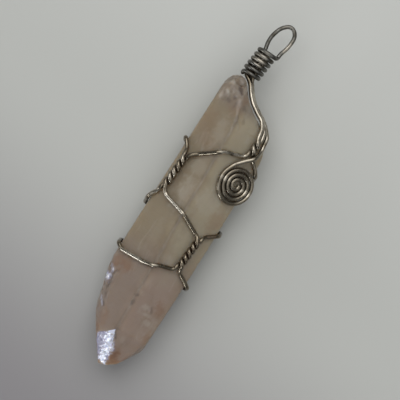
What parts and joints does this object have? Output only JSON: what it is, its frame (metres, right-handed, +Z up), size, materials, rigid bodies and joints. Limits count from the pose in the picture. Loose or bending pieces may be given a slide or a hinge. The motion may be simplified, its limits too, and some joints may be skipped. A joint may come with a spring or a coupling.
{
  "type": "crystal point pendant",
  "caption": "Raw quartz point held in a cage of twisted wire, with a flat wire spiral on one face and a coiled neck that ends in a loop for a cord",
  "frame": {"origin": "middle of the outline seen from above, on the surface that the pendant lies on", "axes": "+Y from the crystal's tip towards the bail, +X to the right seen from above, +Z up from the surface"},
  "size_m": [0.0186, 0.078, 0.0135],
  "materials": {
    "quartz": "cloudy grey-brown raw quartz, softly shiny, with a frosted white facet at the tip",
    "wire": "darkened silver-toned wire, shiny where it is rubbed"
  },
  "bodies": {
    "root": {"crystal_point": "quartz", "cage_wire": "wire", "bail_wire": "wire", "spiral_scroll": "wire"}
  },
  "joints": []
}
